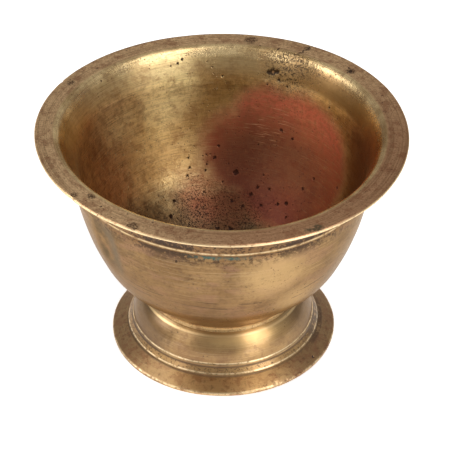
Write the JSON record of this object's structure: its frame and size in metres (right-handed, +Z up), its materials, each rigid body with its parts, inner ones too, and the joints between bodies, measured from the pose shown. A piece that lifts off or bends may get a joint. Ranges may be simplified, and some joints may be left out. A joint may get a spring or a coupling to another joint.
{
  "type": "shaving bowl",
  "caption": "Round metal bowl with a wide flat lip and a turned ridge under it, on a short hollow pedestal foot with two turned steps and a thin flange.",
  "frame": {"origin": "on the turning axis, in the plane of the table that the foot's rim rests on", "axes": "+Z up along the turning axis, out of the bowl's mouth; +X and +Y are any two directions across the mouth"},
  "size_m": [0.127, 0.127, 0.0845],
  "materials": {
    "bowl_brass": "aged satin, turned and worn",
    "foot_brass": "aged satin, turned and worn",
    "braze_brass": "satin, dressed by hand"
  },
  "bodies": {
    "root": {"bowl": "bowl_brass", "foot": "foot_brass", "braze_ring": "braze_brass"}
  },
  "joints": []
}
